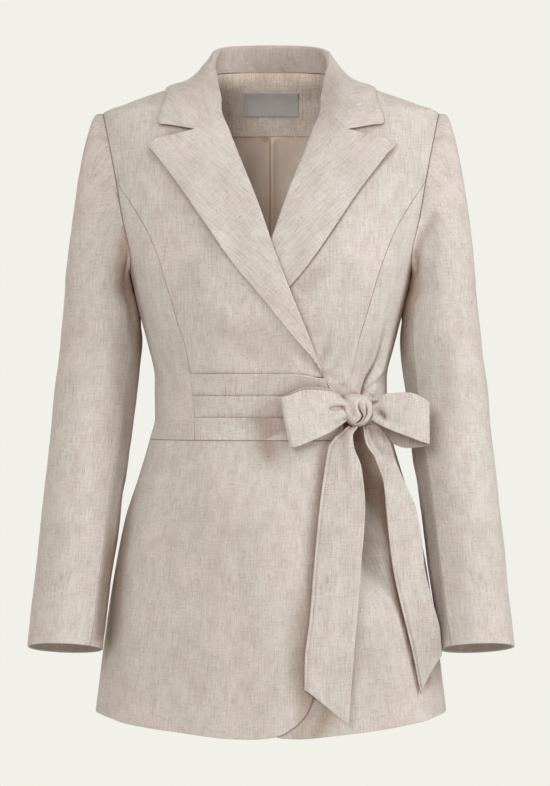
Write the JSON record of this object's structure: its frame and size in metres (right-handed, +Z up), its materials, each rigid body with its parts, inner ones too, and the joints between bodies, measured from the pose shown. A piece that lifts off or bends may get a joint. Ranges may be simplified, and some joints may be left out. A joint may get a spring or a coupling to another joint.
{
  "type": "wrap blazer",
  "caption": "Wrap blazer of slub linen with peaked lapels, a pleated waist, a flared skirt and a belt tied in a bow at the side, filled out with no wearer.",
  "frame": {"origin": "centre of the neck opening, level with the neck ends of the shoulder seams, where the garment hangs on its wearer's shoulders", "axes": "+Z up, +X towards the wearer's left, -Y forward: the front of the garment faces -Y"},
  "size_m": [0.542, 0.2826, 0.7793],
  "materials": {
    "slub_linen": "matt plain weave with slubs, oatmeal",
    "lining_satin": "smooth satin, light brown",
    "label_weave": "flat woven tape, grey, bare"
  },
  "bodies": {
    "root": {"front_left": "slub_linen", "front_right": "slub_linen", "side_left": "slub_linen", "side_right": "slub_linen", "back_left": "slub_linen", "back_right": "slub_linen", "skirt_front_left": "slub_linen", "skirt_front_right": "slub_linen", "skirt_back_left": "slub_linen", "skirt_back_right": "slub_linen", "lapel_left": "slub_linen", "lapel_right": "slub_linen", "sleeve_top_left": "slub_linen", "sleeve_top_right": "slub_linen", "sleeve_under_left": "slub_linen", "sleeve_under_right": "slub_linen", "pleat_1": "slub_linen", "pleat_2": "slub_linen", "pleat_3": "slub_linen", "collar_stand": "slub_linen", "collar_fall": "slub_linen", "neck_facing": "slub_linen", "tie_strap": "slub_linen", "bow_loop_right": "slub_linen", "bow_loop_left": "slub_linen", "tail_right": "slub_linen", "tail_left": "slub_linen", "knot": "slub_linen", "lining_back": "lining_satin", "neck_label": "label_weave"}
  },
  "joints": []
}
